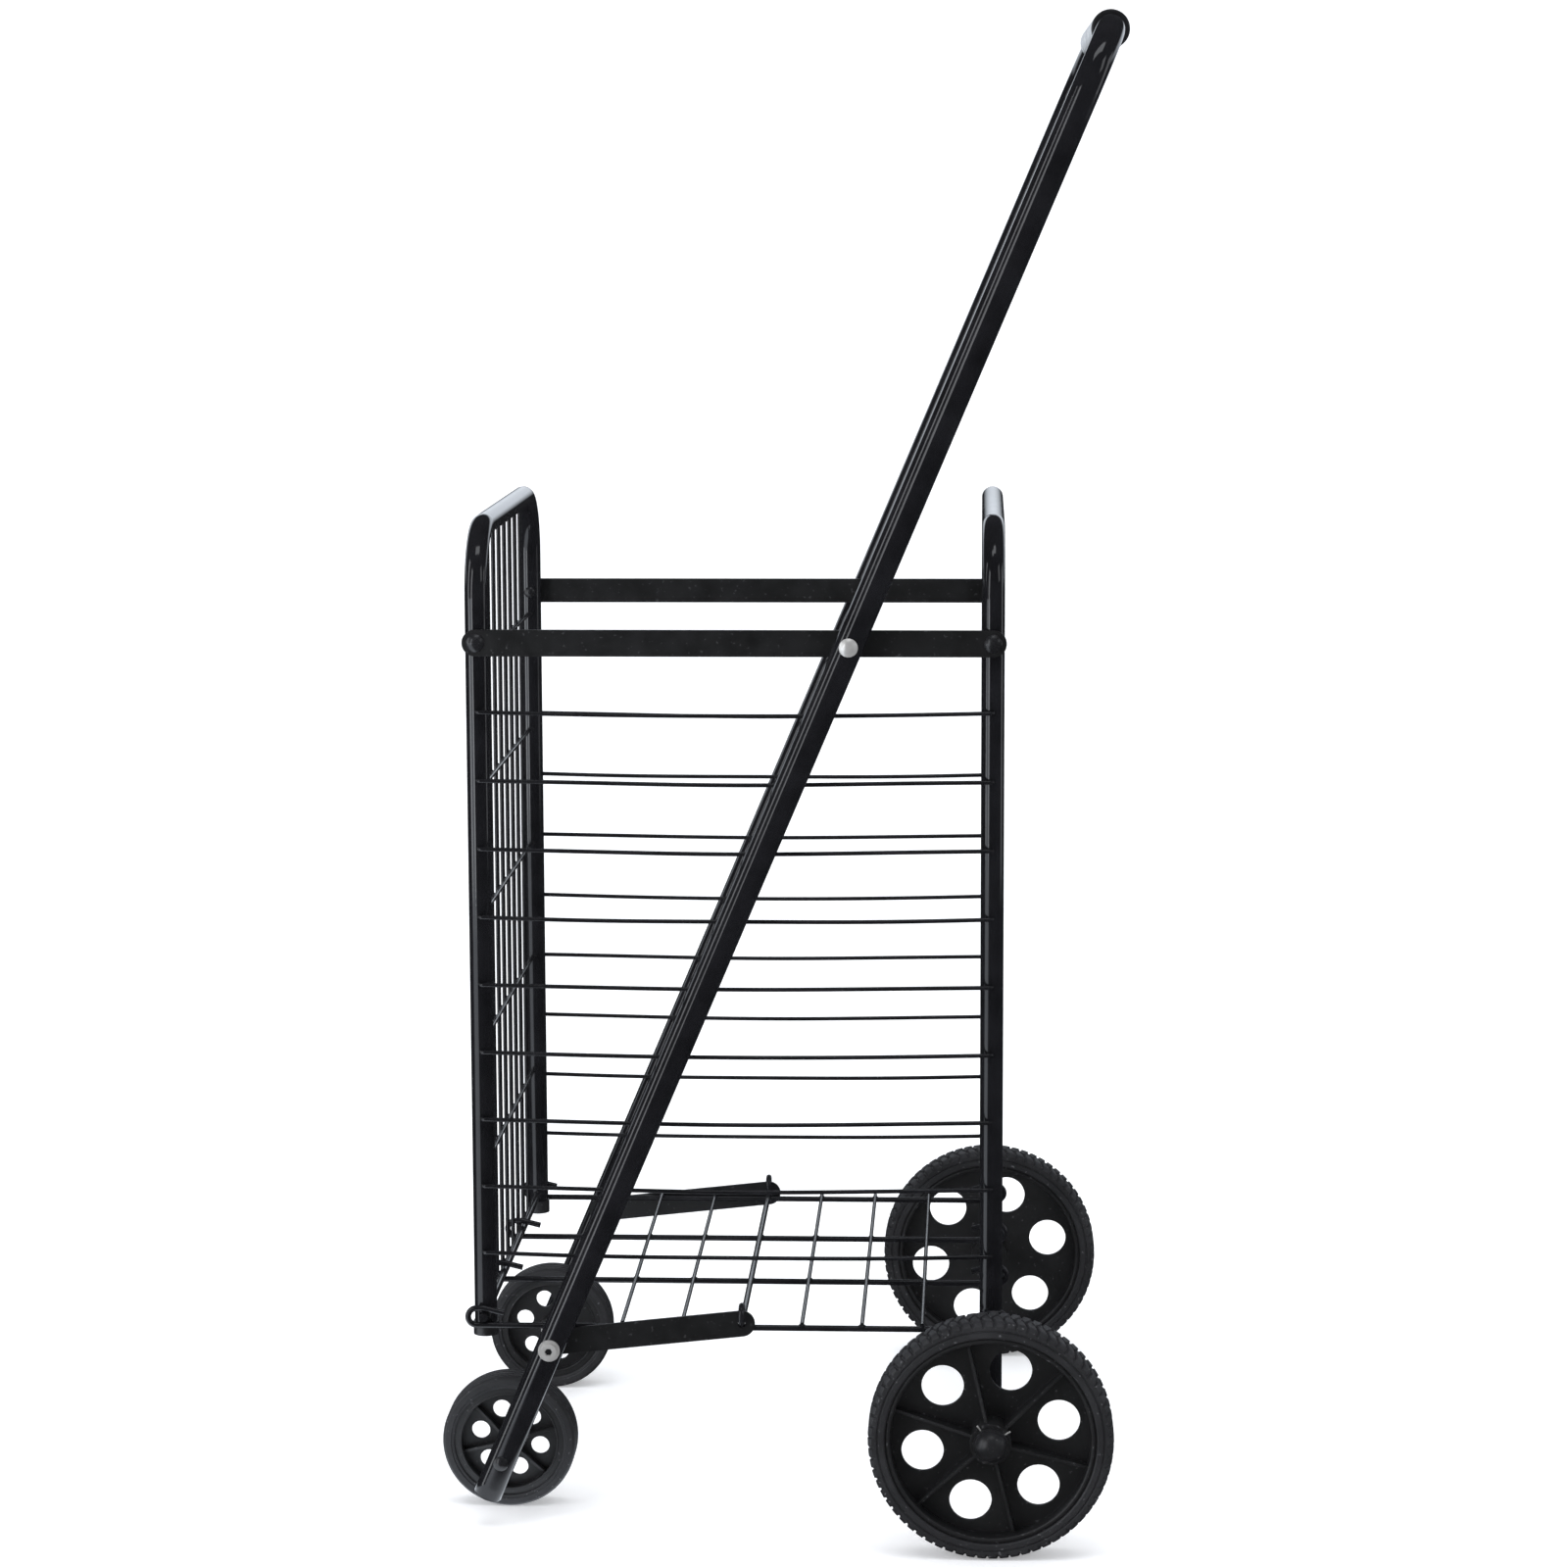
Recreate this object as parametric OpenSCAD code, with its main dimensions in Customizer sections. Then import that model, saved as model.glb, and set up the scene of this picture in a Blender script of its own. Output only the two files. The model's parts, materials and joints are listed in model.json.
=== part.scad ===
// Folding shopping trolley: two inverted-U tube frames joined by parallel side links, a wire base and a
// leaning U handle that carries the small front wheels. X runs front to rear, Z up, the ground is Z = 0.

/* [Basket] */
// Distance between the front and rear leg centres, which is the length of every side link
link_l = 338; // [330:1:345]
// Distance between the left and right leg centres
leg_gap = 330; // [310:2:340]
// Height of the rail centre on top of both frames
rail_z = 664.8; // [650:1:690]
// Outer diameter of the frame tubes
tube_d = 15; // [14:0.5:16]
// Centreline radius of the frame's top bends
frame_bend = 44; // [36:1:50]
// Height of the rivets at the ends of the upper links
rivet_z = 592; // [585:1:600]
// Height of the bottom rods that the base hooks round
rod_z = 139.5; // [138:0.5:141]

/* [Side wires] */
// Height of the top side wire
side_top_z = 546.5; // [540:0.5:548]
// Vertical distance between side wires
side_pitch = 45.4; // [44:0.1:45.5]
// Diameter of the side wires
side_wire_d = 2.8; // [2.4:0.1:2.8]

/* [Handle] */
// Outer diameter of the handle tube
handle_d = 19; // [18:0.5:19]
// Distance of the handle pivot in front of the rear leg centre
pivot_back = 93.4; // [90:0.2:96]
// Lean of the handle from vertical in degrees
lean = 23; // [22:0.1:24]
// Distance from the handle pivot up to the grip centre
grip_up = 427.5; // [400:0.5:450]
// Distance from the handle pivot down to the lower link's bolt
bolt_down = 509; // [508:0.1:510]
// Outer diameter of the grip sleeve
grip_d = 25; // [23:0.5:28]

/* [Wheels] */
// Diameter of the rear wheels
rear_wheel_d = 160; // [150:1:164]
// Distance from the middle plane to the middle of each rear tyre
rear_wheel_y = 236; // [232:1:245]
// Diameter of the front wheels
front_wheel_d = 90.4; // [88:0.2:92]
// Distance from the middle plane to the middle of each front tyre
front_wheel_y = 139; // [136:1:141]

/* [Hidden] */
$fn = 64;

// Running and standing gaps
play = 0.06;
gap = 0.5;
weld = 0.3;

// Tubes
tube_wall = 1.2;
leg_y = leg_gap / 2;
leg_face = leg_y + tube_d / 2;
front_x = -link_l;

// Number of wires on each side, each on its own pivots
side_wires = 9;

// Flat links and their planes, counted outwards from the legs
bar_t = 2;
bar_w = 17.5;
bar_y = leg_face + gap;
long_wire_d = 4;
outer_wire_y = leg_face + 1 + long_wire_d / 2;
lower_bar_y = outer_wire_y + long_wire_d / 2 + 0.3;
handle_y = lower_bar_y + bar_t + 0.4 + handle_d / 2;

// Handle points along its own axis, measured from the pivot
handle_wall = 1.4;
handle_bend = 43;
pivot_x = -pivot_back;
axle_down = (rivet_z - front_wheel_d / 2) / cos(lean);
leg_end_down = axle_down + 18;
grip_half = handle_y - handle_bend - 1.5;

// Base
hook_r = 5.8;
rod_r = 2.75;
wire_z = rod_z - hook_r;
tail_angle = 60;
tail_l = 12;
inner_wire_y = outer_wire_y / 3;
cross_wire_d = 2.7;
cross_pitch = 40;
lift_x = -165.5;
lift_r = 2;
lift_z = wire_z + long_wire_d / 2 + lift_r - weld;
eye_r = 6;
rod_end_y = lower_bar_y + 1.4;

// Ends of the lower links
lower_bar_mid = lower_bar_y + bar_t / 2;
bolt_x = pivot_x - bolt_down * sin(lean);
bolt_z = rivet_z - bolt_down * cos(lean);

// Grille
grille_d = 3;
grille_gaps = 10;
grille_x = rod_r + grille_d / 2 - weld;
cross_x = grille_x - grille_d + weld;
grille_cross_top = 576;
grille_cross_pitch = 85;
grille_crosses = 5;

// Fasteners
rivet_r = 3;
head_r = 6.2;
head_h = 3;
tail_r = 4;

// Wheels and axles
rear_axle_r = 5;
rear_axle_z = rear_wheel_d / 2;
rear_tyre_w = 30;
rear_hub_in = 22;
rear_hub_out = 20;
rear_seat_r = rear_wheel_d / 2 - 10;
front_axle_r = 4;
front_tyre_w = 24;
front_hub_half = 14;
front_seat_r = front_wheel_d / 2 - 7.2;
front_axle_x = pivot_x - axle_down * sin(lean);
front_axle_z = front_wheel_d / 2;

// The origin is on the ground under the middle of the trolley's length
rear_reach = max(rear_wheel_d / 2, pivot_x + grip_up * sin(lean) + grip_d / 2);
front_reach = front_axle_x - front_wheel_d / 2;
origin_x = (rear_reach + front_reach) / 2;

// ---- Helpers ----

module both_sides() {
    children();
    mirror([0, 1, 0]) children();
}

module y_rod(r, y0, y1, x, z) {
    translate([x, y0, z]) rotate([-90, 0, 0]) cylinder(h = y1 - y0, r = r);
}

module x_rod(r, x0, x1, y, z) {
    translate([x0, y, z]) rotate([0, 90, 0]) cylinder(h = x1 - x0, r = r);
}

// Quarter bend from +Y up to +Z, centred on the origin
module bend(radius, r) {
    rotate([90, 0, 90]) rotate_extrude(angle = 90) translate([radius, 0]) circle(r = r);
}

// Inverted U in the YZ plane with its feet at foot and its crown's centreline at crown
module u_bar(half, foot, crown, radius, r) {
    both_sides() {
        translate([0, half, foot]) cylinder(h = crown - radius - foot, r = r);
        translate([0, half - radius, crown - radius]) bend(radius, r);
    }
    y_rod(r, radius - half, half - radius, 0, crown);
}

module u_tube(half, foot, crown, radius, d, wall) {
    difference() {
        u_bar(half, foot, crown, radius, d / 2);
        u_bar(half, foot - 1, crown, radius, d / 2 - wall);
    }
}

// Domed head whose flat face lies on y = 0 and which bulges towards +Y
module dome(r, h) {
    ball = (r * r + h * h) / (2 * h);
    rotate([-90, 0, 0]) intersection() {
        translate([0, 0, h - ball]) sphere(r = ball);
        cylinder(h = h, r = r);
    }
}

module ring_y(r_in, r_out, y0, y1) {
    difference() {
        y_rod(r_out, y0, y1, 0, 0);
        y_rod(r_in, y0 - 1, y1 + 1, 0, 0);
    }
}

// Places a part on the handle's tilted axis, a distance up from the pivot
module on_handle(up) {
    translate([pivot_x, 0, rivet_z]) rotate([0, lean, 0]) translate([0, 0, up]) children();
}

// ---- Frames ----

module frame_tube(foot, rod_holes) {
    difference() {
        u_tube(leg_y, foot, rail_z, frame_bend, tube_d, tube_wall);
        both_sides() {
            y_rod(rivet_r + play, leg_y - tube_d, leg_y + tube_d, 0, rivet_z);
            y_rod(rod_r, leg_y - tube_d, leg_y + tube_d, 0, rod_z);
            for (level = [0 : side_wires - 1])
                y_rod(side_wire_d / 2 + play, leg_y, leg_y + tube_d, 0, side_top_z - level * side_pitch);
            if (rod_holes)
                y_rod(rear_axle_r, leg_y - tube_d, leg_y + tube_d, 0, rear_axle_z);
        }
    }
}

// Welded panel of upright and level wires; side is -1 for uprights in front of the rod, 1 for behind
module grille(side) {
    upright_top = rail_z - sqrt(pow(tube_d / 2, 2) - pow(grille_x, 2)) + weld;
    upright_foot = rod_z - 8;
    level_half = leg_y - sqrt(pow(tube_d / 2, 2) - pow(cross_x, 2)) + weld;
    for (i = [1 : grille_gaps - 1])
        translate([side * grille_x, leg_gap * (i / grille_gaps - 0.5), upright_foot])
            cylinder(h = upright_top - upright_foot, d = grille_d);
    for (i = [0 : grille_crosses - 1])
        y_rod(grille_d / 2, -level_half, level_half, side * cross_x,
            grille_cross_top - i * grille_cross_pitch);
}

module bottom_rod() {
    y_rod(rod_r, -rod_end_y, rod_end_y, 0, rod_z);
}

// Rivet through a leg and the upper link outside it, with an outer dome and a small inner head
module frame_rivets() {
    both_sides() translate([0, 0, rivet_z]) {
        y_rod(rivet_r, leg_y - tube_d / 2 - 0.1, bar_y + bar_t + 0.2, 0, 0);
        translate([0, bar_y + bar_t + 0.1, 0]) dome(head_r, head_h);
        translate([0, leg_y - tube_d / 2 - 0.05, 0]) mirror([0, 1, 0]) dome(tail_r, 1.6);
    }
}

module rear_frame_tube() {
    color("black") frame_tube(rear_axle_z - 12, true);
}

module front_frame_tube() {
    color("black") translate([front_x, 0, 0]) frame_tube(rod_z - 11, false);
}

module rear_grille() {
    color("black") grille(1);
}

module front_grille() {
    color("black") translate([front_x, 0, 0]) grille(-1);
}

module rear_bottom_rod() {
    color("black") bottom_rod();
}

module front_bottom_rod() {
    color("black") translate([front_x, 0, 0]) bottom_rod();
}

module rear_rivets() {
    color("dimgray") frame_rivets();
}

module front_rivets() {
    color("dimgray") translate([front_x, 0, 0]) frame_rivets();
}

// Moulded cups pushed over the ends of the front legs
module leg_caps() {
    cap_r = tube_d / 2 + 0.9;
    floor_z = rod_z - 11 - 0.1;
    color("dimgray") both_sides() translate([front_x, leg_y, floor_z - 3]) difference() {
        cylinder(h = 9, r = cap_r);
        translate([0, 0, 3]) cylinder(h = 9, r = tube_d / 2 + play);
    }
}

// ---- Links and side wires ----

// Flat bar with round ends in the XZ plane between two points, with a hole at each
module flat_bar(from, to, y0, hole_from, hole_to) {
    span = norm(to - from);
    translate([from[0], y0 + bar_t, from[1]])
        rotate([90, -atan2(to[1] - from[1], to[0] - from[0]), 0])
            linear_extrude(bar_t) difference() {
                union() {
                    translate([0, -bar_w / 2]) square([span, bar_w]);
                    circle(d = bar_w);
                    translate([span, 0]) circle(d = bar_w);
                }
                circle(r = hole_from);
                translate([span, 0]) circle(r = hole_to);
            }
}

module upper_link() {
    difference() {
        flat_bar([front_x, rivet_z], [0, rivet_z], bar_y, rivet_r + play, rivet_r + play);
        y_rod(rivet_r + play, bar_y - 1, bar_y + bar_t + 1, pivot_x, rivet_z);
    }
}

module upper_link_left() {
    color("black") mirror([0, 1, 0]) upper_link();
}

module upper_link_right() {
    color("black") upper_link();
}

// One side wire: a straight run whose ends turn into the holes in the legs
module side_wire(z) {
    r = side_wire_d / 2;
    run_y = leg_face + 0.7 + r;
    elbow_r = 2.4;
    x_rod(r, front_x + elbow_r, -elbow_r, run_y, z);
    for (end = [0, 1]) translate([end == 0 ? 0 : front_x, 0, z]) mirror([end, 0, 0]) {
        y_rod(r, leg_y - 1, run_y - elbow_r, 0, 0);
        translate([-elbow_r, run_y - elbow_r, 0])
            rotate_extrude(angle = 90) translate([elbow_r, 0]) circle(r = r);
    }
}

module side_wire_pair(level) {
    color("black") both_sides() side_wire(side_top_z - (level - 1) * side_pitch);
}

// ---- Handle ----

module handle_tube() {
    color("black") difference() {
        on_handle(0)
            u_tube(handle_y, -leg_end_down, grip_up, handle_bend, handle_d, handle_wall);
        both_sides() {
            on_handle(0) y_rod(rivet_r, handle_y - handle_d, handle_y + handle_d, 0, 0);
            on_handle(-bolt_down) y_rod(rivet_r, handle_y - handle_d, handle_y + handle_d, 0, 0);
            on_handle(-axle_down) y_rod(front_axle_r, handle_y - handle_d, handle_y + handle_d, 0, 0);
        }
    }
}

module handle_grip() {
    bead = 1.2;
    color("dimgray") on_handle(grip_up) difference() {
        union() {
            y_rod(grip_d / 2 - bead, -grip_half, grip_half, 0, 0);
            y_rod(grip_d / 2, -grip_half + bead, grip_half - bead, 0, 0);
            for (s = [-1, 1])
                translate([0, s * (grip_half - bead), 0]) rotate([90, 0, 0])
                    rotate_extrude() translate([grip_d / 2 - bead, 0]) circle(r = bead);
        }
        y_rod(handle_d / 2 + play, -grip_half - 1, grip_half + 1, 0, 0);
    }
}

module handle_plugs() {
    color("dimgray") both_sides() on_handle(-leg_end_down) translate([0, handle_y, 0]) {
        translate([0, 0, -1.6]) cylinder(h = 1.5, d = handle_d - 0.6);
        translate([0, 0, -0.3]) cylinder(h = 8, d = handle_d - 2 * handle_wall - 0.1);
    }
}

// Pivot rivet through the handle leg, the washer and the upper link
module handle_rivets() {
    color("silver") both_sides() on_handle(0) {
        y_rod(rivet_r, bar_y - 0.2, handle_y + handle_d / 2 + 0.2, 0, 0);
        translate([0, handle_y + handle_d / 2 + 0.1, 0]) dome(head_r, 2.6);
        translate([0, bar_y - 0.1, 0]) mirror([0, 1, 0]) dome(tail_r + 0.6, 1.4);
    }
}

module handle_washers() {
    color("dimgray") both_sides() on_handle(0)
        ring_y(rivet_r + play, 8, bar_y + bar_t + 0.1, handle_y - handle_d / 2 - 0.1);
}

module front_axle() {
    end_y = handle_y + handle_d / 2 + 0.1;
    color("silver") on_handle(-axle_down) {
        y_rod(front_axle_r, -end_y - 0.1, end_y + 0.1, 0, 0);
        both_sides() translate([0, end_y, 0]) dome(5, 2.2);
    }
}

module front_spacers() {
    color("dimgray") both_sides() on_handle(-axle_down)
        ring_y(front_axle_r + play, 7, front_wheel_y + front_hub_half + 0.3, handle_y - handle_d / 2 - 0.1);
}

module front_collars() {
    inner = front_wheel_y - front_hub_half - 0.3;
    color("silver") both_sides() on_handle(-axle_down) ring_y(front_axle_r, 7, inner - 2, inner);
}

// Shoulder bolt of the lower link: it stops at the leg's inner face, so the link swings free of it
module link_bolts() {
    outer = handle_y + handle_d / 2;
    color("silver") both_sides() on_handle(-bolt_down) {
        y_rod(rivet_r, handle_y - handle_d / 2 + 0.1, outer + 1.7, 0, 0);
        difference() {
            y_rod(5.2, outer + 1.6, outer + 4.2, 0, 0);
            y_rod(2.6, outer + 2.6, outer + 5, 0, 0, $fn = 64);
        }
    }
}

module link_washers() {
    outer = handle_y + handle_d / 2;
    color("silver") both_sides() on_handle(-bolt_down) ring_y(rivet_r + play, 7.2, outer + 0.05, outer + 1.5);
}

// ---- Base ----

// Wire along X whose ends curl under, round and over the two bottom rods
module long_wire(y) {
    r = long_wire_d / 2;
    x_rod(r, front_x, 0, y, wire_z);
    for (end = [0, 1]) translate([end == 0 ? front_x : 0, y, rod_z]) mirror([end, 0, 0]) {
        rotate([90, 0, 0]) rotate([0, 0, tail_angle])
            rotate_extrude(angle = 270 - tail_angle) translate([hook_r, 0]) circle(r = r);
        translate([0, 0, -hook_r]) sphere(r = r);
        rotate([0, -tail_angle, 0]) translate([hook_r, 0, 0]) rotate([0, 180, 0]) {
            cylinder(h = tail_l, r = r);
            translate([0, 0, tail_l]) sphere(r = r);
        }
    }
}

module base_long_wires() {
    color("black") for (k = [-3, -1, 1, 3]) long_wire(k * inner_wire_y);
}

module base_cross_wires() {
    z = wire_z + (long_wire_d + cross_wire_d) / 2 - weld;
    half = outer_wire_y + long_wire_d / 2 - 0.2;
    color("dimgray") for (k = [-2, -1, 1, 2, 3])
        y_rod(cross_wire_d / 2, -half, half, lift_x + k * cross_pitch, z);
}

// Cross rod whose ends pass through the lower links and curl up into eyes
module lift_rod() {
    color("dimgray") {
        y_rod(lift_r, -lower_bar_mid, lower_bar_mid, lift_x, lift_z);
        both_sides() translate([lift_x, lower_bar_mid, lift_z + eye_r]) rotate([90, 0, 90])
            rotate([0, 0, -90]) rotate_extrude(angle = 290) translate([eye_r, 0]) circle(r = lift_r);
    }
}

module lower_link() {
    flat_bar([bolt_x, bolt_z], [lift_x, lift_z], lower_bar_y, rivet_r + 0.1, lift_r + 0.4);
}

module lower_link_left() {
    color("black") mirror([0, 1, 0]) lower_link();
}

module lower_link_right() {
    color("black") lower_link();
}

// Nut on the inside of each lower link, in line with the handle bolt
module link_nuts() {
    color("silver") both_sides() translate([bolt_x, 0, bolt_z]) {
        y_rod(rivet_r, lower_bar_y - 0.5, lower_bar_y + bar_t, 0, 0);
        y_rod(4.6, lower_bar_y - 2, lower_bar_y - 0.05, 0, 0, $fn = 64);
    }
}

// ---- Wheels ----

// Round body about +Y from a profile of [radius, y] points
module lathe(profile) {
    rotate([-90, 0, 0]) rotate_extrude($fn = 128) polygon(profile);
}

// Spoked disc wheel on +Y: hub, web with six holes, six ribs and the rim that seats the tyre
module rim(seat_r, rim_t, rim_w, hub_r, hub_in, hub_out, bore_r, web_y, web_t, hole_r, hole_at, turn) {
    inner_r = seat_r - rim_t;
    rib_t = 2;
    difference() {
        union() {
            y_rod(hub_r, -hub_in, hub_out, 0, 0, $fn = 96);
            y_rod(inner_r + 0.5, web_y - web_t, web_y, 0, 0, $fn = 128);
            lathe([[inner_r, -rim_w / 2], [seat_r, -rim_w / 2], [seat_r, rim_w / 2], [inner_r, rim_w / 2]]);
            for (k = [0 : 5]) rotate([0, -turn - 30 - 60 * k, 0]) translate([0, 0, -rib_t / 2])
                linear_extrude(rib_t) polygon([[hub_r - 1, web_y - 1], [inner_r + 1, web_y - 1],
                    [inner_r + 1, web_y - web_t + rim_w / 2 - 3], [hub_r - 1, web_y - web_t + hub_out - 2]]);
        }
        y_rod(bore_r, -hub_in - 1, hub_out + 1, 0, 0);
        for (k = [0 : 5]) rotate([0, -turn - 60 * k, 0])
            y_rod(hole_r, web_y - web_t - 1, web_y + 1, hole_at, 0);
    }
}

module rear_rim() {
    rim(rear_seat_r - play, 4.4, 26, 13.5, rear_hub_in, rear_hub_out, rear_axle_r + play,
        0, 3, 13.8, 45.6, 13.4);
}

module front_rim() {
    rim(front_seat_r - play, 5, 20, 9, front_hub_half, front_hub_half, front_axle_r + play,
        1.5, 3, 6.3, 20.8, 45.5);
}

// Solid tyre with chamfered shoulders
module tyre(r, seat_r, w, shoulder, shoulder_drop) {
    lathe([[seat_r, -w / 2], [r - shoulder_drop, -w / 2], [r, -w / 2 + shoulder], [r, w / 2 - shoulder],
        [r - shoulder_drop, w / 2], [seat_r, w / 2]]);
}

module at_rear_wheel(side) {
    translate([0, side * rear_wheel_y, rear_axle_z]) mirror([0, side < 0 ? 1 : 0, 0]) children();
}

module at_front_wheel(side) {
    translate([front_axle_x, side * front_wheel_y, front_axle_z])
        mirror([0, side < 0 ? 1 : 0, 0]) children();
}

module rear_rim_left() {
    color("dimgray") at_rear_wheel(-1) rear_rim();
}

module rear_rim_right() {
    color("dimgray") at_rear_wheel(1) rear_rim();
}

module front_rim_left() {
    color("dimgray") at_front_wheel(-1) front_rim();
}

module front_rim_right() {
    color("dimgray") at_front_wheel(1) front_rim();
}

module rear_tyre() {
    tyre(rear_wheel_d / 2, rear_seat_r, rear_tyre_w, 4, 2.5);
}

module front_tyre() {
    tyre(front_wheel_d / 2, front_seat_r, front_tyre_w, 3, 2);
}

module rear_tyre_left() {
    color("black") at_rear_wheel(-1) rear_tyre();
}

module rear_tyre_right() {
    color("black") at_rear_wheel(1) rear_tyre();
}

module front_tyre_left() {
    color("black") at_front_wheel(-1) front_tyre();
}

module front_tyre_right() {
    color("black") at_front_wheel(1) front_tyre();
}

module rear_axle() {
    end_y = rear_wheel_y + rear_hub_out + 6;
    color("silver") y_rod(rear_axle_r, -end_y, end_y, 0, rear_axle_z);
}

module rear_spacers() {
    color("dimgray") both_sides() translate([0, 0, rear_axle_z])
        ring_y(rear_axle_r + play, 8, leg_face + 0.2, rear_wheel_y - rear_hub_in - 0.3);
}

// Push-on domes that keep the rear wheels on the axle
module axle_caps() {
    base_y = rear_wheel_y + rear_hub_out + 0.3;
    color("dimgray") both_sides() translate([0, base_y, rear_axle_z]) difference() {
        union() {
            y_rod(11.5, 0, 4, 0, 0);
            translate([0, 3.9, 0]) dome(10.4, 8.6);
        }
        y_rod(rear_axle_r + play, -1, 5.8, 0, 0);
    }
}

// ---- Nodes ----

translate([-origin_x, 0, 0]) {
    rear_frame_tube();
    rear_grille();
    rear_bottom_rod();
    rear_rivets();
    rear_axle();
    rear_spacers();
    axle_caps();
    front_frame_tube();
    front_grille();
    front_bottom_rod();
    leg_caps();
    front_rivets();
    upper_link_left();
    upper_link_right();
    side_wire_pair(1);  // side_wires_1
    side_wire_pair(2);  // side_wires_2
    side_wire_pair(3);  // side_wires_3
    side_wire_pair(4);  // side_wires_4
    side_wire_pair(5);  // side_wires_5
    side_wire_pair(6);  // side_wires_6
    side_wire_pair(7);  // side_wires_7
    side_wire_pair(8);  // side_wires_8
    side_wire_pair(9);  // side_wires_9
    handle_tube();
    handle_grip();
    handle_plugs();
    handle_rivets();
    handle_washers();
    front_axle();
    front_spacers();
    front_collars();
    link_bolts();
    link_washers();
    base_long_wires();
    base_cross_wires();
    lift_rod();
    lower_link_left();
    lower_link_right();
    link_nuts();
    rear_rim_left();
    rear_rim_right();
    rear_tyre_left();
    rear_tyre_right();
    front_rim_left();
    front_rim_right();
    front_tyre_left();
    front_tyre_right();
}
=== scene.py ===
"""Looks of the folding shopping trolley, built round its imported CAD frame. Metres, row frame."""

import json
import math
import random

import bmesh
import bpy
from mathutils import Matrix, Vector


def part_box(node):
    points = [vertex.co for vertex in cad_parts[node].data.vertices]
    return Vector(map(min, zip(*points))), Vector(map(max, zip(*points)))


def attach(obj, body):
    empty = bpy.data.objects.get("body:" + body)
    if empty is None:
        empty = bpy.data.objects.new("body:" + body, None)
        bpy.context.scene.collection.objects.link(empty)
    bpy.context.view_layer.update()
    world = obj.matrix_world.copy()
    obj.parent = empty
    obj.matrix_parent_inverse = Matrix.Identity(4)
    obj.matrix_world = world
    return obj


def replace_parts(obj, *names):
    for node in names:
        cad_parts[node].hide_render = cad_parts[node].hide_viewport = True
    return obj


MM = 0.001

# Sizes of the CAD that the details below are set by.
FRAME_TUBE_R = 7.5 * MM
HANDLE_TUBE_R = 9.5 * MM
SIDE_WIRE_ELBOW_R = 2.4 * MM
SIDE_WIRE_END_Y = 164 * MM
BASE_WIRE_R = 2 * MM
BASE_WIRE_ROWS = (-3, -1, 1, 3)
BASE_CROSS_R = 1.35 * MM
BASE_CROSS_PITCH = 40 * MM
BASE_CROSSINGS = 6
GRILLE_GAPS = 10
GRILLE_LEVELS = 5
GRILLE_TOP_Z = 576 * MM
GRILLE_PITCH = 85 * MM
REAR_SEAT_DEPTH = 10 * MM
FRONT_SEAT_DEPTH = 7.2 * MM

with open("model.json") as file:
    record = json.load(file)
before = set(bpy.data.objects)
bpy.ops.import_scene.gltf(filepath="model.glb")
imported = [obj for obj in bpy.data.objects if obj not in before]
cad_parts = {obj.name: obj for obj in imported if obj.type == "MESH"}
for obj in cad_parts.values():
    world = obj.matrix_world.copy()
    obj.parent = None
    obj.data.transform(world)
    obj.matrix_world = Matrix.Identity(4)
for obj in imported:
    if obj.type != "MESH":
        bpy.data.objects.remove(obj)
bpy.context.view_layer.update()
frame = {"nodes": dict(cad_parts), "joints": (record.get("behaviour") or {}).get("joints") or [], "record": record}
SEED = 7
rng = random.Random(SEED)


def centre(node):
    low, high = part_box(node)
    return (low + high) / 2


def joint_position(name):
    found = [j for j in frame["joints"] if j["name"] == name]
    return Vector(found[0]["pos_m"])


# ---- Finishes ----


class Finish:
    """Shader node helper for one procedural material."""

    def __init__(self, name):
        self.material = bpy.data.materials.new(name)
        self.material.use_nodes = True
        self.tree = self.material.node_tree
        self.shader = self.tree.nodes["Principled BSDF"]
        self.coords = self.node("ShaderNodeTexCoord").outputs["Object"]

    def node(self, kind):
        return self.tree.nodes.new(kind)

    def link(self, source, target):
        self.tree.links.new(source, target)

    def stretched(self, scale):
        mapping = self.node("ShaderNodeMapping")
        mapping.inputs["Scale"].default_value = scale
        self.link(self.coords, mapping.inputs["Vector"])
        return mapping.outputs["Vector"]

    def noise(self, scale, detail, stretch=(1, 1, 1)):
        texture = self.node("ShaderNodeTexNoise")
        texture.inputs["Scale"].default_value = scale
        texture.inputs["Detail"].default_value = detail
        self.link(self.stretched(stretch), texture.inputs["Vector"])
        return texture.outputs["Fac"]

    def spread(self, source, low, high, start=0.3, end=0.7):
        span = self.node("ShaderNodeMapRange")
        span.inputs["From Min"].default_value = start
        span.inputs["From Max"].default_value = end
        span.inputs["To Min"].default_value = low
        span.inputs["To Max"].default_value = high
        self.link(source, span.inputs["Value"])
        return span.outputs["Result"]

    def mix(self, factor, first, second):
        blend = self.node("ShaderNodeMix")
        blend.data_type = "RGBA"
        self.link(factor, blend.inputs["Factor"])
        for socket, value in ((blend.inputs[6], first), (blend.inputs[7], second)):
            if isinstance(value, tuple):
                socket.default_value = (*value, 1)
            else:
                self.link(value, socket)
        return blend.outputs[2]

    def bump(self, height, distance, edge):
        bump = self.node("ShaderNodeBump")
        bump.inputs["Distance"].default_value = distance
        self.link(height, bump.inputs["Height"])
        if edge:
            bevel = self.node("ShaderNodeBevel")
            bevel.inputs["Radius"].default_value = edge
            self.link(bevel.outputs["Normal"], bump.inputs["Normal"])
        self.link(bump.outputs["Normal"], self.shader.inputs["Normal"])


CLOUD_SCALE = 35
STREAK_SCALE = 90
SPECK_SCALE = 420
SPECK_START, SPECK_END = 0.7, 0.76
DUST_COLOUR = (0.16, 0.16, 0.17)


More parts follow.
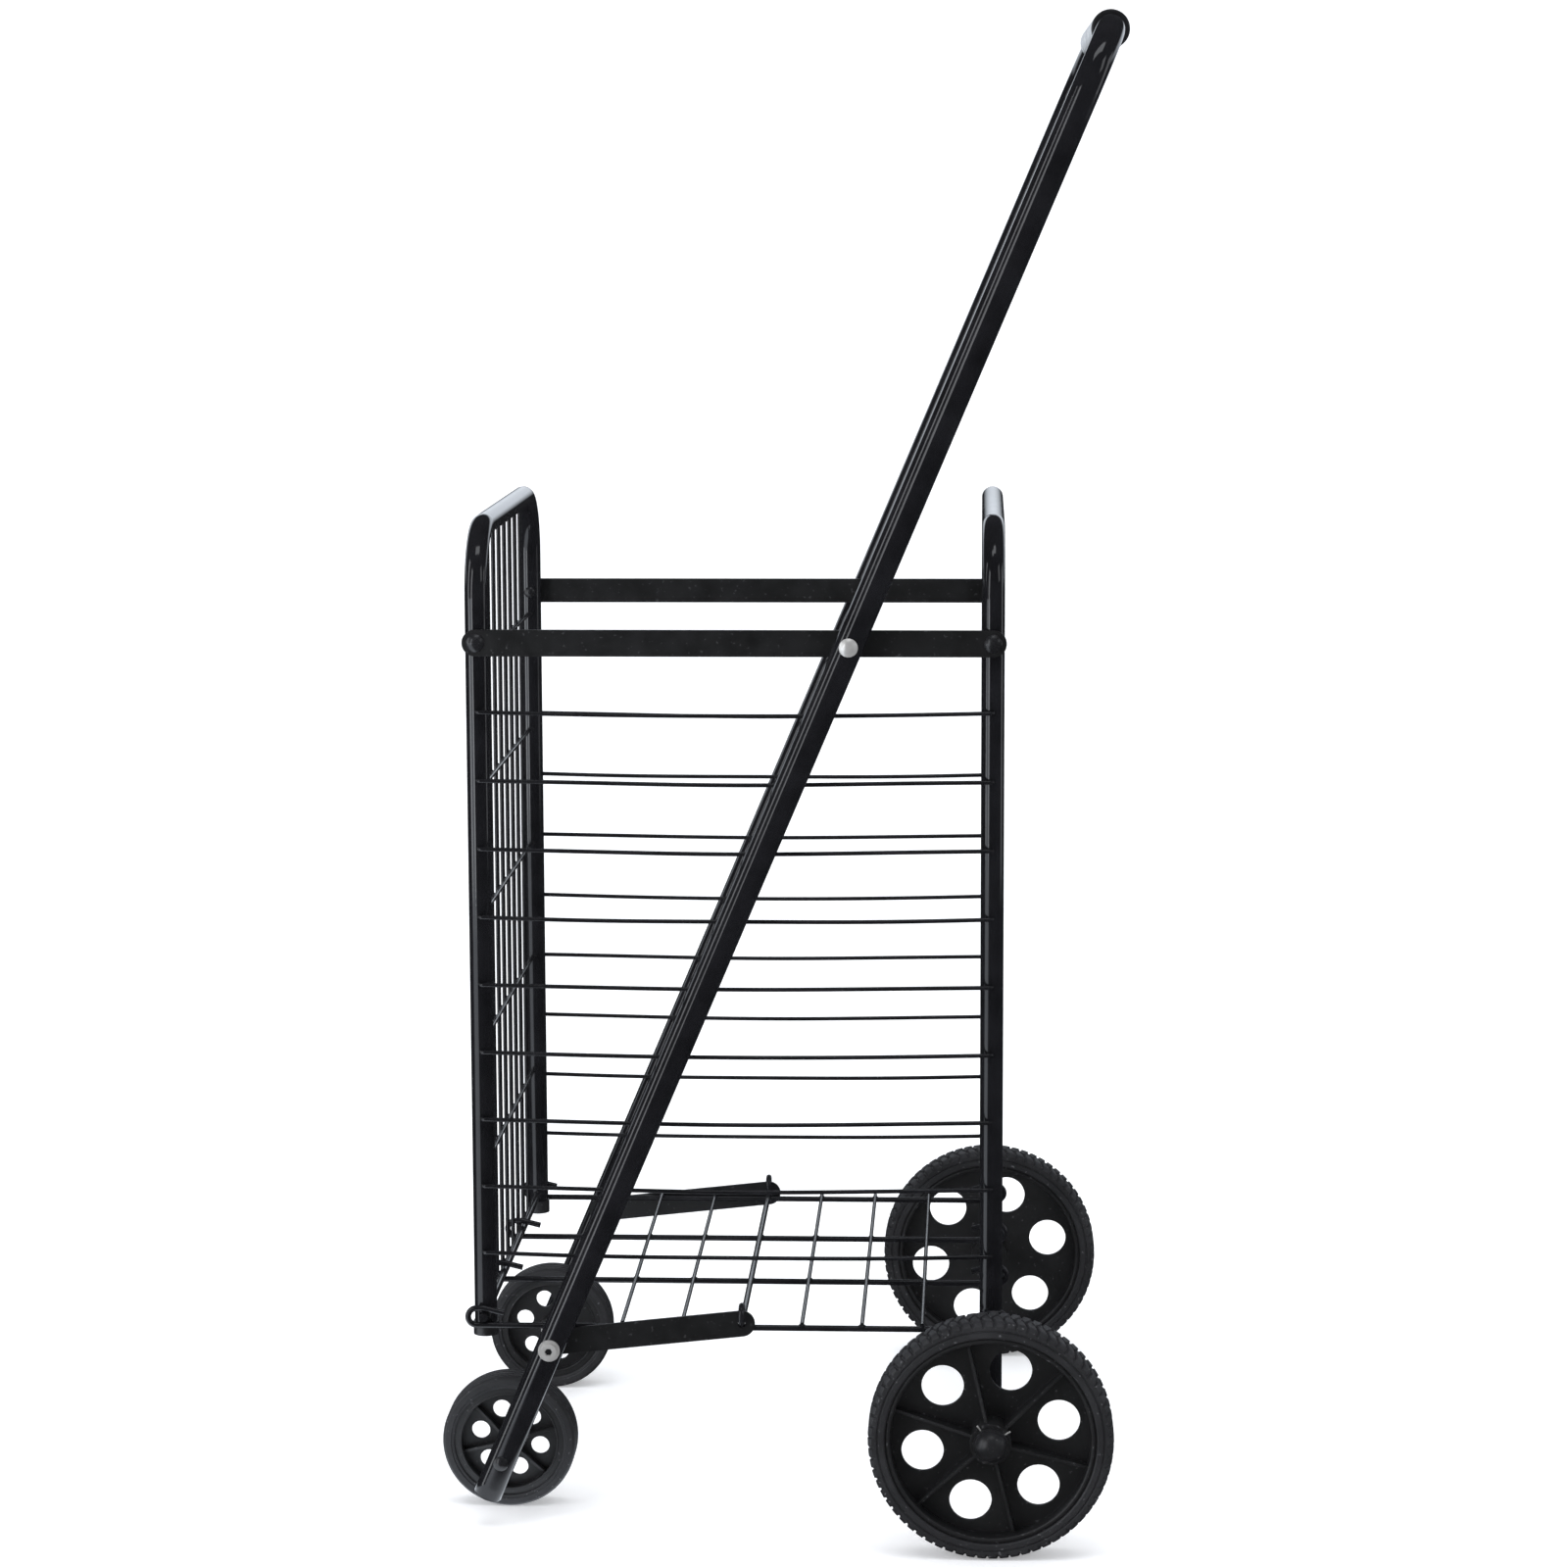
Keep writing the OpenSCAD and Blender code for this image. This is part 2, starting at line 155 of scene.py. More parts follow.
def finish(name, dark, light, rough, grain, height, metallic=0.0, dust=0.0, edge=0.0,
           stretch=(1, 1, 1)):
    """A surface whose colour drifts from dark to light, with varied roughness, fine bumps and dust."""
    f = Finish(name)
    cloud = f.spread(f.noise(CLOUD_SCALE, detail=4), 0, 1)
    colour = f.mix(cloud, dark, light)
    if dust:
        specks = f.spread(f.noise(SPECK_SCALE, detail=1), 0, dust, SPECK_START, SPECK_END)
        colour = f.mix(specks, colour, DUST_COLOUR)
    f.link(colour, f.shader.inputs["Base Color"])
    streaks = f.noise(STREAK_SCALE, detail=5, stretch=stretch)
    f.link(f.spread(streaks, rough[0], rough[1]), f.shader.inputs["Roughness"])
    f.shader.inputs["Metallic"].default_value = metallic
    f.bump(f.noise(grain, detail=3, stretch=stretch), height * MM, edge)
    return f.material


PAINT_BLACK = (0.006, 0.006, 0.007)
PLASTIC_BLACK = (0.010, 0.010, 0.011)
PLASTIC_GREY = (0.018, 0.018, 0.020)

FINISHES = {
    "tube_paint": finish("tube_paint", PAINT_BLACK, (0.012, 0.012, 0.014), (0.05, 0.12), 160, 0.03),
    "link_paint": finish("link_paint", (0.006, 0.006, 0.006), (0.011, 0.011, 0.012), (0.32, 0.48), 900,
                         0.05, dust=0.2, edge=0.5 * MM),
    "wire_paint": finish("wire_paint", PAINT_BLACK, (0.013, 0.013, 0.015), (0.08, 0.2), 420, 0.12),
    "black_rivet": finish("black_rivet", (0.008, 0.008, 0.009), (0.016, 0.016, 0.018), (0.18, 0.34), 700,
                          0.05, edge=0.3 * MM),
    "zinc": finish("zinc", (0.54, 0.53, 0.52), (0.66, 0.65, 0.63), (0.30, 0.42), 900, 0.04,
                   metallic=0.55, edge=0.3 * MM, stretch=(1, 3, 1)),
    "axle_steel": finish("axle_steel", (0.32, 0.32, 0.32), (0.45, 0.45, 0.45), (0.25, 0.45), 500, 0.04,
                         metallic=1.0, stretch=(1, 0.05, 1)),
    "wheel_plastic": finish("wheel_plastic", PLASTIC_BLACK, (0.016, 0.016, 0.017), (0.42, 0.56), 1500,
                            0.12, dust=0.35, edge=0.6 * MM),
    "tyre_rubber": finish("tyre_rubber", (0.014, 0.014, 0.016), (0.024, 0.024, 0.027), (0.48, 0.66), 1100,
                          0.2, dust=0.5, edge=0.4 * MM),
    "grip_rubber": finish("grip_rubber", PLASTIC_BLACK, PLASTIC_GREY, (0.16, 0.26), 1300, 0.15),
    "cap_plastic": finish("cap_plastic", PLASTIC_BLACK, PLASTIC_GREY, (0.3, 0.42), 1200, 0.08,
                          dust=0.3, edge=0.4 * MM),
}


def dress_cad():
    for entry in frame["record"]["subparts"]:
        mesh = frame["nodes"][entry["node"]].data
        mesh.materials.clear()
        mesh.materials.append(FINISHES[entry["material_slot"]])


# ---- Mesh helpers ----


def add_piece(name, mesh_data, slot, body, sharp_deg=35):
    """Makes a mesh object of the finish slot that moves with a body, from a bmesh in the row frame."""
    bmesh.ops.recalc_face_normals(mesh_data, faces=mesh_data.faces)
    mesh = bpy.data.meshes.new(name)
    mesh_data.to_mesh(mesh)
    mesh_data.free()
    for face in mesh.polygons:
        face.use_smooth = True
    mesh.set_sharp_from_angle(angle=math.radians(sharp_deg))
    mesh.materials.append(FINISHES[slot])
    piece = bpy.data.objects.new(name, mesh)
    bpy.context.scene.collection.objects.link(piece)
    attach(piece, body)
    return piece


def bridge_rings(target, rings, closed):
    """Joins equal rings of vertices with quads; closed joins the last ring to the first."""
    count = len(rings[0])
    last = len(rings) if closed else len(rings) - 1
    for i in range(last):
        here, there = rings[i], rings[(i + 1) % len(rings)]
        for k in range(count):
            n = (k + 1) % count
            target.faces.new((here[k], here[n], there[n], there[k]))


def lathe(target, place, profile, steps, radius_at=None):
    """Turns a closed profile of (radius, across) points about the Y axis of a place."""
    rings = []
    for s in range(steps):
        angle = 2 * math.pi * s / steps
        ring = []
        for r, across in profile:
            if radius_at:
                r = radius_at(angle, r, across)
            point = Vector((r * math.cos(angle), across, r * math.sin(angle)))
            ring.append(target.verts.new(place @ point))
        rings.append(ring)
    bridge_rings(target, rings, True)


def sweep(target, path, radius, sides=12):
    """Round wire along a path of points, with flat ends."""
    rings = []
    side = None
    for i, point in enumerate(path):
        ahead = path[min(i + 1, len(path) - 1)] - path[max(i - 1, 0)]
        ahead.normalize()
        if side is None:
            side = ahead.orthogonal().normalized()
        side = (side - ahead * side.dot(ahead)).normalized()
        up = ahead.cross(side)
        ring = []
        for k in range(sides):
            a = 2 * math.pi * k / sides
            ring.append(target.verts.new(point + (side * math.cos(a) + up * math.sin(a)) * radius))
        rings.append(ring)
    bridge_rings(target, rings, False)
    target.faces.new(list(reversed(rings[0])))
    target.faces.new(rings[-1])


LUMP_WOBBLE = (0.85, 1.15)


def blob(target, middle, radii):
    """Small rounded lump of weld metal, slightly out of true."""
    turn = Matrix.Rotation(rng.uniform(0, math.pi), 4, "Z")
    wobble = rng.uniform(*LUMP_WOBBLE)
    size = Matrix.Diagonal((radii[0] * wobble, radii[1] * wobble, radii[2], 1))
    place = Matrix.Translation(middle) @ size @ turn
    bmesh.ops.create_icosphere(target, subdivisions=2, radius=1, matrix=place)


# ---- Side wires ----


ELBOW_STEPS = 6
RUN_STEPS = 32
SAG_MM = (2.0, 2.8)
BOW_MM = (-0.5, 0.5)
WAVE_MM = (-0.3, 0.3)


def elbow_angles():
    return [k / ELBOW_STEPS * math.pi / 2 for k in range(ELBOW_STEPS + 1)]


def sagging_path(side, z, inner_y, run_y, rear_x, front_x):
    """Centreline of one side wire, from the rear leg round to the front leg."""
    elbow = SIDE_WIRE_ELBOW_R
    sag = rng.uniform(*SAG_MM) * MM
    bow = rng.uniform(*BOW_MM) * MM
    wave = rng.uniform(*WAVE_MM) * MM
    path = [Vector((rear_x, side * inner_y, z))]
    for a in elbow_angles():
        path.append(Vector((rear_x - elbow * (1 - math.cos(a)),
                            side * (run_y - elbow + elbow * math.sin(a)), z)))
    start_x, end_x = rear_x - elbow, front_x + elbow
    for k in range(1, RUN_STEPS):
        t = k / RUN_STEPS
        arch = math.sin(math.pi * t)
        dip = sag * arch + wave * math.sin(3 * math.pi * t)
        path.append(Vector((start_x + (end_x - start_x) * t, side * (run_y + bow * arch), z - dip)))
    for a in elbow_angles():
        path.append(Vector((end_x - elbow * math.sin(a),
                            side * (run_y - elbow + elbow * math.cos(a)), z)))
    path.append(Vector((front_x, side * inner_y, z)))
    return path


def sagging_wires(level):
    """The pair of side wires of one level, replacing the straight CAD pair: they sag a little."""
    node = f"side_wires_{level}"
    low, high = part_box(node)
    radius = (high.z - low.z) / 2
    z = (low.z + high.z) / 2
    inner_y = centre("rear_grille").y + SIDE_WIRE_END_Y
    run_y = high.y - radius
    wires = bmesh.new()
    for side in (-1, 1):
        path = sagging_path(side, z, inner_y, run_y, high.x - radius, low.x + radius)
        sweep(wires, path, radius)
    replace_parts(add_piece(f"sagging_wires_{level}", wires, "wire_paint", node), node)


# ---- Base wires ----


HOOK_OUT = 5 * MM
HOOK_STEPS = 16
TAIL_RUN = 13 * MM
TAIL_DROP = 3.2 * MM
TAIL_BEND = 1 * MM
TAIL_BEND_DROP = 0.25 * MM


def hook_points(rod, out, hook_r):
    """Centreline of one end of a base wire, from its tail over and round to the underside of the rod."""
    flat = [(-TAIL_RUN, hook_r - TAIL_DROP), (-TAIL_BEND, hook_r - TAIL_BEND_DROP), (TAIL_BEND, hook_r)]
    for k in range(HOOK_STEPS + 1):
        a = math.pi / 2 - k / HOOK_STEPS * math.pi
        flat.append((HOOK_OUT + hook_r * math.cos(a), hook_r * math.sin(a)))
    return [(rod.x + out * x, rod.z + z) for x, z in flat]


def hooked_base_wires():
    """The base's long wires with tails that drop inwards, replacing the CAD's round hooks."""
    node = "base_long_wires"
    low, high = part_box(node)
    rear, front = centre("rear_bottom_rod"), centre("front_bottom_rod")
    hook_r = (high.z - low.z) / 2 - BASE_WIRE_R
    profile = hook_points(rear, 1, hook_r) + hook_points(front, -1, hook_r)[::-1]
    wires = bmesh.new()
    for row in BASE_WIRE_ROWS:
        y = row * (high.y - BASE_WIRE_R) / 3
        sweep(wires, [Vector((x, y, z)) for x, z in profile], BASE_WIRE_R, 20)
    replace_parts(add_piece("hooked_base_wires", wires, "wire_paint", "base"), node)


# ---- Tyres ----

LUGS = 68
LUG_DEPTH = 1.5 * MM
LUG_STEPS = 14
GROOVE_SPREAD = 1.4
SLOT_SLANT = 0.35
SLOT_HALF = 0.11
SLOT_START, SLOT_FULL = 0.1, 0.2
ZIGZAG_SWING = 0.28
ZIGZAG_HALF = 0.08
REAR_CROWN = 2.6 * MM
REAR_CROWN_POWER = 2.2
REAR_SHOULDER_DEPTH = 1.2 * MM
REAR_FLAT = 9 * MM
REAR_RIM_HALF = 13.1 * MM
REAR_COLUMNS = 26
FRONT_CROWN = 2 * MM
FRONT_FLAT = 8.5 * MM
FRONT_RIM_HALF = 10.1 * MM
FRONT_COLUMNS = 60
FRONT_STEPS = 160
FRONT_GROOVES = (-7.2 * MM, -2.4 * MM, 2.4 * MM, 7.2 * MM)
FRONT_GROOVE_DEPTH = 1.5 * MM
FRONT_GROOVE_HALF = 0.7 * MM

# Side of a tyre: millimetres below the tread and in from the tyre's face, from the tread to the rim.
REAR_SIDE = ((3.0, 0), (5.4, 0), (5.9, 0.7), (6.6, 0.7), (7.1, 0), (10.2, 0), (11.0, 0.6))
FRONT_SIDE = ((5.6, 0), (6.2, 0.6), (7.6, 0.6), (8.0, 0.9))


def smooth_step(edge0, edge1, value):
    t = min(1, max(0, (value - edge0) / (edge1 - edge0)))
    return t * t * (3 - 2 * t)


def groove(distance, half_width):
    """1 inside a groove, falling to 0 past its edge."""
    return 1 - smooth_step(half_width, half_width * GROOVE_SPREAD, abs(distance))


def lug_cut(angle, across, half_width):
    """Depth cut below the tread at a point: slanted shoulder slots and a zigzag middle groove."""
    v = across / half_width
    turn = angle * LUGS / (2 * math.pi)
    offset = 0.5 if v > 0 else 0.0
    phase = (turn + offset + SLOT_SLANT * abs(v)) % 1.0 - 0.5
    slot = groove(phase, SLOT_HALF) * smooth_step(SLOT_START, SLOT_FULL, abs(v))
    zigzag = ZIGZAG_SWING * (4 * abs((turn % 1.0) - 0.5) - 1)
    middle = groove(v - zigzag, ZIGZAG_HALF)
    return LUG_DEPTH * max(slot, middle)


def wheel_place(node, side):
    """Puts wheel coordinates, outer face towards +Y, at the wheel's centre on that side."""
    return Matrix.Translation(centre(node)) @ Matrix.Diagonal((1, side, 1, 1))


def closed_section(tread, radius, half, side_steps, rim_half, seat_depth):
    """Closed tyre section from its tread points and the steps of its sides."""
    outer_side = [(radius - depth * MM, half - inset * MM) for depth, inset in side_steps]
    outer_side += [(outer_side[-1][0], rim_half), (radius - seat_depth, rim_half)]
    inner_side = [(r, -across) for r, across in outer_side]
    return tread + inner_side + outer_side[::-1]


def lugged_tyre(side_name, side):
    """Rear tyre with a cut tread, replacing the plain CAD tyre."""
    node = f"rear_tyre_{side_name}"
    low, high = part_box(node)
    radius = (high.z - low.z) / 2
    half = (high.y - low.y) / 2
    tread = []
    for k in range(REAR_COLUMNS + 1):
        across = half - 2 * half * k / REAR_COLUMNS
        over = max(0, abs(across) - REAR_FLAT) / (half - REAR_FLAT)
        tread.append((radius - REAR_CROWN * over ** REAR_CROWN_POWER, across))
    section = closed_section(tread, radius, half, REAR_SIDE, REAR_RIM_HALF, REAR_SEAT_DEPTH)
    shoulder = radius - REAR_CROWN - REAR_SHOULDER_DEPTH

    def radius_at(angle, r, across):
        if r < shoulder:
            return r
        return r - lug_cut(angle, across, half)

    tyre = bmesh.new()
    lathe(tyre, wheel_place(node, side), section, LUGS * LUG_STEPS, radius_at)
    piece = add_piece(f"lugged_tyre_{side_name}", tyre, "tyre_rubber", f"rear_wheel_{side_name}", 32)
    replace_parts(piece, node)


def grooved_tyre(side_name, side):
    """Front tyre with grooves round its tread, replacing the plain CAD tyre."""
    node = f"front_tyre_{side_name}"
    low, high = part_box(node)
    radius = (high.z - low.z) / 2
    half = (high.y - low.y) / 2
    tread = []
    for k in range(FRONT_COLUMNS + 1):
        across = half - 2 * half * k / FRONT_COLUMNS
        over = max(0, abs(across) - FRONT_FLAT) / (half - FRONT_FLAT)
        cut = max(groove(across - g, FRONT_GROOVE_HALF) for g in FRONT_GROOVES)
        tread.append((radius - FRONT_CROWN * over ** 2 - FRONT_GROOVE_DEPTH * cut, across))
    section = closed_section(tread, radius, half, FRONT_SIDE, FRONT_RIM_HALF, FRONT_SEAT_DEPTH)
    tyre = bmesh.new()
    lathe(tyre, wheel_place(node, side), section, FRONT_STEPS)
    piece = add_piece(f"grooved_tyre_{side_name}", tyre, "tyre_rubber", f"front_wheel_{side_name}", 40)
    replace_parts(piece, node)


# ---- Wheel details ----


# Inner and outer radius of a rim's lip, how far out it stands and its half thickness.
REAR_LIP = (65.2 * MM, 68.4 * MM, 12.6 * MM, 1.2 * MM)
FRONT_LIP = (32.2 * MM, 33.9 * MM, 9.4 * MM, 1.0 * MM)
LIP_STEPS = 10
RIM_STEPS = 144


def rim_lip(end, side_name, side, lip):
    """Rounded lip along the inside edge of a rim, on both faces, at the rear or front end."""
    inner, outer, reach, thick = lip
    node = f"{end}_tyre_{side_name}"
    lips = bmesh.new()
    for face in (1, -1):
        profile = []
        for k in range(LIP_STEPS):
            a = 2 * math.pi * k / LIP_STEPS
            profile.append(((inner + outer) / 2 + (outer - inner) / 2 * math.cos(a),
                            face * (reach + thick * math.sin(a))))
        lathe(lips, wheel_place(node, side), profile, RIM_STEPS)
    name = f"{end}_rim_lip_{side_name}"
    add_piece(name, lips, "wheel_plastic", f"{end}_wheel_{side_name}", 60)


def cap_nub(side_name, side):
    """Moulding nub and its ring on the tip of an axle cap."""
    low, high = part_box("axle_caps")
    tip = high.y if side > 0 else low.y
    axle = centre("rear_axle")
    nub = bmesh.new()
    place = Matrix.Translation(Vector((axle.x, tip, axle.z))) @ Matrix.Diagonal((1, side, 1, 1))
    ring_r, bead_r, steps = 1.8, 0.35, 8
    ring = []
    for k in range(steps):
        a = 2 * math.pi * k / steps
        ring.append(((ring_r + bead_r * math.cos(a)) * MM, (bead_r * math.sin(a) - bead_r) * MM))
    lathe(nub, place, ring, 40)
    tip_profile = [(0.05, 0.1), (0.6, 0), (0.6, -0.8), (0.05, -0.8)]
    lathe(nub, place, [(r * MM, across * MM) for r, across in tip_profile], 20)
    add_piece(f"cap_nub_{side_name}", nub, "cap_plastic", "rear_frame", 50)


CLIP_BEHIND_TIP = 12.7 * MM
CLIP_TAB_DEGREES = (36, 125)
CLIP_START_R = 9 * MM
CLIP_BEND = 5.2 * MM
CLIP_REACH = 6.4 * MM
CLIP_TURN_UP = 0.9 * MM
CLIP_THICK = 1.1 * MM


def hub_clip(side_name, side):
    """Sprung steel tabs that show behind an axle cap."""
    axle = centre("rear_axle")
    tab_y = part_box("axle_caps")[1].y - CLIP_BEHIND_TIP
    clip = bmesh.new()
    for degrees in CLIP_TAB_DEGREES:
        a = math.radians(degrees)
        out = Vector((math.cos(a), 0, math.sin(a)))
        start = Vector((axle.x, side * tab_y, axle.z)) + out * CLIP_START_R
        turned_up = Vector((0, side * CLIP_TURN_UP, 0))
        path = [start, start + out * CLIP_BEND, start + out * CLIP_REACH + turned_up]
        sweep(clip, path, CLIP_THICK / 2, 8)
    add_piece(f"hub_clip_{side_name}", clip, "zinc", "rear_frame")


# ---- Welds and bolt sockets ----


# Half sizes of the weld lumps.
CROSSING_LUMP = (1.5 * MM, 2.1 * MM, 1.9 * MM)
LEG_LUMP = (2.2 * MM, 1.8 * MM, 2.2 * MM)
FOOT_LUMP = (1.3 * MM, 2.2 * MM, 2.2 * MM)
ROD_INNER_LUMP = (3.4 * MM, 1.4 * MM, 3.4 * MM)
ROD_OUTER_LUMP = (3.6 * MM, 1.0 * MM, 3.6 * MM)
BASE_LUMP = (2.3 * MM, 2.3 * MM, 1.1 * MM)
BASE_ROD_LUMP = (2.9 * MM, 2.2 * MM, 1.3 * MM)
# Where they sit, from the middle of the bottom rod or of a leg.
WELD_OUT = 2.4 * MM
LEG_WELD_IN = 7.6 * MM
ROD_WELD_IN = 7.8 * MM
ROD_WELD_OUT = 7.6 * MM
BASE_WELD_LIFT = 0.1 * MM


def grille_welds(node, body, name):
    """Weld lumps where the grille's wires cross and where its wires and bottom rod meet the legs."""
    low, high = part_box(node)
    rod = centre(node.replace("grille", "bottom_rod"))
    tube_y = abs(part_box(body + "_tube")[1].y) - FRAME_TUBE_R
    towards_wires = 1 if rod.x < (low.x + high.x) / 2 else -1
    junction_x = rod.x + towards_wires * WELD_OUT
    upright_y = [2 * tube_y * (i / GRILLE_GAPS - 0.5) for i in range(1, GRILLE_GAPS)]
    welds = bmesh.new()
    for level in range(GRILLE_LEVELS):
        z = GRILLE_TOP_Z - GRILLE_PITCH * level
        for y in upright_y:
            blob(welds, Vector((junction_x, y, z)), CROSSING_LUMP)
        for side in (-1, 1):
            blob(welds, Vector((rod.x, side * (tube_y - LEG_WELD_IN), z)), LEG_LUMP)
    for y in upright_y:
        blob(welds, Vector((junction_x, y, rod.z)), FOOT_LUMP)
    for side in (-1, 1):
        blob(welds, Vector((rod.x, side * (tube_y - ROD_WELD_IN), rod.z)), ROD_INNER_LUMP)
        blob(welds, Vector((rod.x, side * (tube_y + ROD_WELD_OUT), rod.z)), ROD_OUTER_LUMP)
    add_piece(name, welds, "wire_paint", body)


def base_welds():
    """Weld lumps where the base's cross wires and lift rod sit on its long wires."""
    outer_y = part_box("base_long_wires")[1].y - BASE_WIRE_R
    cross_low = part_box("base_cross_wires")[0]
    lift_x = centre("lift_rod").x
    first_x = cross_low.x + BASE_CROSS_R
    z = cross_low.z + BASE_WELD_LIFT
    welds = bmesh.new()
    for step in range(BASE_CROSSINGS):
        x = first_x + step * BASE_CROSS_PITCH
        on_rod = abs(x - lift_x) < BASE_CROSS_PITCH / 4
        lump = BASE_ROD_LUMP if on_rod else BASE_LUMP
        for row in BASE_WIRE_ROWS:
            blob(welds, Vector((x, row * outer_y / 3, z)), lump)
    add_piece("base_welds", welds, "wire_paint", "base")


LEG_TIP_STEPS = 72

# Closed (radius, along the leg) sections in millimetres; the axle is at 0.
LEG_TIP_WALL = ((8.1, 18), (9.5, 18), (9.5, 25.7), (9.3, 26), (8.1, 26))
LEG_TIP_PLUG = ((0.05, 25), (8.1, 25), (8.1, 26.05), (8.9, 26.05), (8.9, 27.2), (8.5, 27.6), (0.05, 27.6))


def leg_tips():
    """Longer ends for the handle legs with their plugs, replacing the CAD plugs."""
    pivot, axle = joint_position("handle_pivot"), centre("front_axle")
    down = axle - Vector((pivot.x, axle.y, pivot.z))
    turn = down.to_track_quat("Y", "Z").to_matrix().to_4x4()
    leg_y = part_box("handle_tube")[1].y - HANDLE_TUBE_R
    tube, plug = bmesh.new(), bmesh.new()
    for side in (-1, 1):
        place = Matrix.Translation(Vector((axle.x, side * leg_y, axle.z))) @ turn
        lathe(tube, place, [(r * MM, along * MM) for r, along in LEG_TIP_WALL], LEG_TIP_STEPS)
        lathe(plug, place, [(r * MM, along * MM) for r, along in LEG_TIP_PLUG], LEG_TIP_STEPS)
    add_piece("leg_tip_tubes", tube, "tube_paint", "handle")
    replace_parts(add_piece("leg_tip_plugs", plug, "cap_plastic", "handle"), "handle_plugs")


def prism_ring(target, place, outer, inner_points, start, end):
    """Collar with a round outside and a straight-sided hole."""
    loops = []
    for is_outer, across in ((True, start), (True, end), (False, end), (False, start)):
        loop = []
        for px, pz in inner_points:
            if is_outer:
                length = math.hypot(px, pz)
                px, pz = px / length * outer, pz / length * outer
            loop.append(target.verts.new(place @ Vector((px, across, pz))))
        loops.append(loop)
    bridge_rings(target, loops, True)


def hexagon(across_flats, per_side):
    """Points round a hexagon, evenly spaced along its sides."""
    corner = across_flats / math.sqrt(3)
    corners = [(corner * math.cos(k * math.pi / 3), corner * math.sin(k * math.pi / 3)) for k in range(6)]
    points = []
    for k in range(6):
        (ax, az), (bx, bz) = corners[k], corners[(k + 1) % 6]
        for s in range(per_side):
            t = s / per_side
            points.append((ax + (bx - ax) * t, az + (bz - az) * t))
    return points


SOCKET_R = 2.58 * MM
SOCKET_FLATS = 4.3 * MM
SOCKET_DEPTH = 1.55 * MM
SOCKET_RECESS = 0.15 * MM
# Black disc on each socket's floor: painted shade at the bottom of the socket.
FLOOR_R = 2.4 * MM
FLOOR_TOP_DEPTH = 1.5 * MM
FLOOR_BOTTOM_DEPTH = 1.58 * MM
FLOOR_HOLE_R = 0.02 * MM


def bolt_sockets():
    """Hexagon sockets in the heads of the lower link bolts, each with a black disc on its floor as painted shade.
    """
    low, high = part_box("link_bolts")
    middle = centre("link_bolts")
    steel = bmesh.new()
    dark = bmesh.new()
    for side in (-1, 1):
        face = high.y if side > 0 else -low.y
        place = Matrix.Translation(Vector((middle.x, 0, middle.z))) @ Matrix.Diagonal((1, side, 1, 1))
        prism_ring(steel, place, SOCKET_R, hexagon(SOCKET_FLATS, 4), face - SOCKET_DEPTH,
                   face - SOCKET_RECESS)
        # The black disc on the socket's floor is painted shade.
        top, bottom = face - FLOOR_TOP_DEPTH, face - FLOOR_BOTTOM_DEPTH
        floor = [(FLOOR_HOLE_R, top), (FLOOR_R, top), (FLOOR_R, bottom), (FLOOR_HOLE_R, bottom)]
        lathe(dark, place, floor, 24)
    add_piece("bolt_sockets", steel, "zinc", "handle")
    add_piece("bolt_socket_painted_shade", dark, "black_rivet", "handle")


# ---- Studio ----


STAGE_DARK, STAGE_LIGHT = (0.86, 0.87, 0.88), (0.89, 0.89, 0.90)
STAGE_CLOUD_SCALE = 1.2
STAGE_GLOW = 0.34
MIRRORED_COLOUR = (0.86, 0.92, 1.0, 1)
BAND_RISE, BAND_FALL = (0.60, 0.95), (1.45, 1.75)
BAND_DARK, BAND_BRIGHT = 0.02, 1.35
SHEET_FROM, SHEET_TO = (-150, -142), (-112, -102)
SHEET_BRIGHT = 1.6
SHEET_TOP = (0.05, 0.2)


def product(f, first, second):
    times = f.node("ShaderNodeMath")
    times.operation = "MULTIPLY"
    f.link(first, times.inputs[0])
    f.link(second, times.inputs[1])
    return times.outputs["Value"]


def mirrored_strength(f):
    """What reflections see: a bright band along the wall and a bright sheet on the floor to the left."""
    split = f.node("ShaderNodeSeparateXYZ")
    f.link(f.coords, split.inputs["Vector"])
    height = split.outputs["Z"]
    rise = f.spread(height, BAND_DARK, BAND_BRIGHT, *BAND_RISE)
    band = product(f, rise, f.spread(height, 1.0, BAND_DARK, *BAND_FALL))
    angle = f.node("ShaderNodeMath")
    angle.operation = "ARCTAN2"
    f.link(split.outputs["X"], angle.inputs[0])
    f.link(split.outputs["Y"], angle.inputs[1])
    turn = angle.outputs["Value"]
    opening = f.spread(turn, 0, 1, *map(math.radians, SHEET_FROM))
    sheet = product(f, opening, f.spread(turn, SHEET_BRIGHT, 0, *map(math.radians, SHEET_TO)))
    both = f.node("ShaderNodeMath")
    both.operation = "MULTIPLY_ADD"
    f.link(sheet, both.inputs[0])
    f.link(f.spread(height, 1, 0, *SHEET_TOP), both.inputs[1])
    f.link(band, both.inputs[2])
    return both.outputs["Value"]


